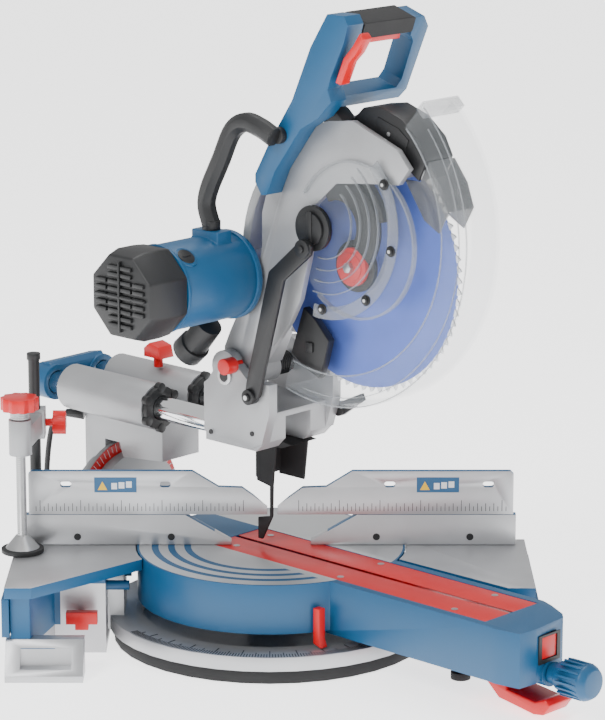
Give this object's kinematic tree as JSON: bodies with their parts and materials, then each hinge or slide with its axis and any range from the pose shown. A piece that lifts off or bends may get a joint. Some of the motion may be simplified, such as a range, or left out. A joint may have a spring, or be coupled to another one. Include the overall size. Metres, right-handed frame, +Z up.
{
  "type": "mitre saw",
  "caption": "Sliding compound mitre saw on its own base, with turntable arm, sliding fences, twin rails, guarded blade, motor, D handle and work clamp.",
  "frame": {"origin": "mitre pivot on the bench the saw stands on", "axes": "+X to the operator's right along the fence, +Y away from the operator, +Z up"},
  "size_m": [0.7102, 0.721, 0.79],
  "materials": {
    "base_metal": "machined and sand-cast aluminium",
    "grey_casting": "silver-grey painted casting",
    "blue_shell": "satin mid-blue",
    "blue_plastic": "fine-grained mid-blue plastic",
    "black_plastic": "fine-grained black plastic",
    "soft_rubber": "matt black rubber",
    "red_plastic": "bright red plastic",
    "rail_chrome": "polished",
    "plain_steel": "turned steel",
    "blade_steel": "periwinkle-blue coated plate with bare teeth",
    "clear_shield": "clear polycarbonate",
    "cord_cover": "black rubber cord"
  },
  "bodies": {
    "base": {"base_casting": "base_metal", "base_rubber_ring": "soft_rubber", "pivot_bolt": "plain_steel", "lower_fence_left": "base_metal", "lower_fence_right": "base_metal", "clamp_rod": "black_plastic"},
    "turntable": {"turntable_casting": "blue_shell", "kerf_insert_left": "red_plastic", "kerf_insert_right": "red_plastic", "mitre_pointer": "red_plastic", "cord_tube": "cord_cover", "cord_coil": "cord_cover", "plug": "cord_cover"},
    "bevel_arm": {"bevel_arm_casting": "grey_casting", "rail_seal_near": "black_plastic", "rail_seal_far": "black_plastic", "rail_bearing_near": "plain_steel", "rail_bearing_far": "plain_steel", "strain_relief": "black_plastic"},
    "carriage": {"rail_near": "rail_chrome", "rail_far": "rail_chrome", "rear_yoke": "blue_shell", "carriage_casting": "grey_casting", "chop_pin": "plain_steel", "return_spring": "black_plastic", "dust_chute": "soft_rubber"},
    "head": {"upper_guard": "grey_casting", "guard_window": "clear_shield", "belt_cover": "black_plastic", "drive_belt": "soft_rubber", "motor_housing": "blue_plastic", "motor_end_cap": "black_plastic", "dust_elbow": "black_plastic", "handle_shell": "blue_plastic", "grip": "soft_rubber", "carry_handle": "black_plastic"},
    "blade": {"blade": "blade_steel", "arbor_bolt": "red_plastic"},
    "armature": {"armature": "plain_steel"},
    "lower_guard": {"lower_guard": "clear_shield"},
    "guard_link": {"guard_link": "black_plastic"},
    "trigger": {"trigger": "red_plastic"},
    "lockoff_lever": {"lockoff_lever": "red_plastic"},
    "transport_pin": {"transport_pin": "red_plastic"},
    "depth_stop_lever": {"depth_stop_lever": "black_plastic"},
    "slide_lock_knob": {"slide_lock_knob": "red_plastic"},
    "mitre_knob": {"mitre_knob": "blue_plastic"},
    "detent_button": {"detent_button": "red_plastic"},
    "detent_lever": {"detent_lever": "red_plastic"},
    "arm_foot": {"arm_foot": "soft_rubber"},
    "bevel_lever": {"bevel_lever": "red_plastic"},
    "extension_left": {"extension_left": "blue_plastic"},
    "extension_right": {"extension_right": "blue_plastic"},
    "extension_knob_left": {"extension_knob_left": "red_plastic"},
    "extension_knob_right": {"extension_knob_right": "red_plastic"},
    "upper_fence_left": {"upper_fence_left": "base_metal"},
    "upper_fence_right": {"upper_fence_right": "base_metal"},
    "clamp_arm": {"clamp_arm": "grey_casting"},
    "clamp_star_knob": {"clamp_star_knob": "red_plastic"},
    "clamp_spindle": {"clamp_spindle": "plain_steel"}
  },
  "joints": [
    {"name": "mitre", "type": "hinge", "parent": "base", "child": "turntable", "pos_m": [0, 0, 0], "axis": [0, 0, 1], "range_deg": [-94.5, 1.5]},
    {"name": "bevel", "type": "hinge", "parent": "turntable", "child": "bevel_arm", "pos_m": [0, 0, 0.1124], "axis": [-0.7254, 0.6884, 0], "range_deg": [-23, 47]},
    {"name": "slide", "type": "slide", "parent": "bevel_arm", "child": "carriage", "axis": [0.7254, -0.6884, 0], "range_m": [-0.095, 0.03]},
    {"name": "chop", "type": "hinge", "parent": "carriage", "child": "head", "pos_m": [-0.01088, 0.01033, 0.336], "axis": [-0.6884, -0.7254, 0], "range_deg": [-62, 0], "stiffness_Nm_per_rad": 20, "springref_deg": 57.3},
    {"name": "guard_swing", "type": "hinge", "parent": "head", "child": "lower_guard", "pos_m": [0.0885, -0.08398, 0.535], "axis": [-0.6884, -0.7254, 0], "range_deg": [0, 137]},
    {"name": "link_swing", "type": "hinge", "parent": "carriage", "child": "guard_link", "pos_m": [0.02684, -0.02547, 0.325], "axis": [-0.6884, -0.7254, 0], "range_deg": [-76, 0]},
    {"name": "armature_spin", "type": "hinge", "parent": "head", "child": "armature", "pos_m": [-0.01306, 0.01239, 0.46], "axis": [0.6884, 0.7254, 0], "continuous": true},
    {"name": "blade_spin", "type": "hinge", "parent": "head", "child": "blade", "pos_m": [0.11033, -0.1047, 0.4879], "axis": [0.6884, 0.7254, 0], "continuous": true},
    {"name": "fence_left", "type": "slide", "parent": "base", "child": "upper_fence_left", "axis": [1, 0, 0], "range_m": [-0.15, 0]},
    {"name": "fence_right", "type": "slide", "parent": "base", "child": "upper_fence_right", "axis": [1, 0, 0], "range_m": [0, 0.13]},
    {"name": "extension_left_pull", "type": "slide", "parent": "base", "child": "extension_left", "axis": [-1, 0, 0], "range_m": [0, 0.09]},
    {"name": "extension_right_pull", "type": "slide", "parent": "base", "child": "extension_right", "axis": [1, 0, 0], "range_m": [0, 0.09]},
    {"name": "extension_left_lock", "type": "hinge", "parent": "base", "child": "extension_knob_left", "pos_m": [-0.228, -0.08, 0.047], "axis": [0, -1, 0], "range_deg": [0, 180]},
    {"name": "extension_right_lock", "type": "hinge", "parent": "base", "child": "extension_knob_right", "pos_m": [0.228, -0.08, 0.047], "axis": [0, -1, 0], "range_deg": [0, 180]},
    {"name": "mitre_lock", "type": "hinge", "parent": "turntable", "child": "mitre_knob", "pos_m": [0.21761, -0.20651, 0.054], "axis": [0.7254, -0.6884, 0], "range_deg": [0, 360]},
    {"name": "detent_release", "type": "slide", "parent": "turntable", "child": "detent_button", "axis": [-0.7254, 0.6884, 0], "range_m": [0, 0.003], "stiffness_N_per_m": 800, "springref_m": -0.002},
    {"name": "detent_override", "type": "hinge", "parent": "turntable", "child": "detent_lever", "pos_m": [0.25388, -0.24092, 0.038], "axis": [0.6884, 0.7254, 0], "range_deg": [0, 12]},
    {"name": "arm_foot_height", "type": "slide", "parent": "turntable", "child": "arm_foot", "axis": [0, 0, 1], "range_m": [0, 0.004]},
    {"name": "bevel_lock", "type": "hinge", "parent": "bevel_arm", "child": "bevel_lever", "pos_m": [-0.22487, 0.21339, 0.1124], "axis": [0.7254, -0.6884, 0], "range_deg": [0, 40]},
    {"name": "slide_lock", "type": "hinge", "parent": "bevel_arm", "child": "slide_lock_knob", "pos_m": [-0.14451, 0.17022, 0.2976], "axis": [0, 0, 1], "range_deg": [0, 90]},
    {"name": "transport_lock", "type": "slide", "parent": "carriage", "child": "transport_pin", "axis": [-0.6884, -0.7254, 0], "range_m": [0, 0.008]},
    {"name": "depth_stop", "type": "hinge", "parent": "carriage", "child": "depth_stop_lever", "pos_m": [0.03772, -0.03579, 0.283], "axis": [0.6884, 0.7254, 0], "range_deg": [-40, 60]},
    {"name": "trigger_pull", "type": "slide", "parent": "head", "child": "trigger", "axis": [0.2362, -0.2241, 0.9455], "range_m": [0, 0.004], "stiffness_N_per_m": 1500, "springref_m": -0.002},
    {"name": "lockoff_press", "type": "hinge", "parent": "head", "child": "lockoff_lever", "pos_m": [0.12476, -0.1184, 0.716], "axis": [-0.6884, -0.7254, 0], "range_deg": [0, 5], "stiffness_Nm_per_rad": 0.6, "springref_deg": -17.19},
    {"name": "clamp_height", "type": "slide", "parent": "base", "child": "clamp_arm", "axis": [0, 0, 1], "range_m": [0, 0.06]},
    {"name": "clamp_lock", "type": "hinge", "parent": "clamp_arm", "child": "clamp_star_knob", "pos_m": [-0.292, 0.042, 0.258], "axis": [1, 0, 0], "range_deg": [0, 360]},
    {"name": "clamp_screw", "type": "slide", "parent": "clamp_arm", "child": "clamp_spindle", "axis": [0, 0, 1], "range_m": [0, 0.08]}
  ],
  "couplings": [
    {"joint": "guard_swing", "follows": "chop", "ratio": -2.2},
    {"joint": "link_swing", "follows": "chop", "ratio": 1.21},
    {"joint": "blade_spin", "follows": "armature_spin", "ratio": 1}
  ]
}
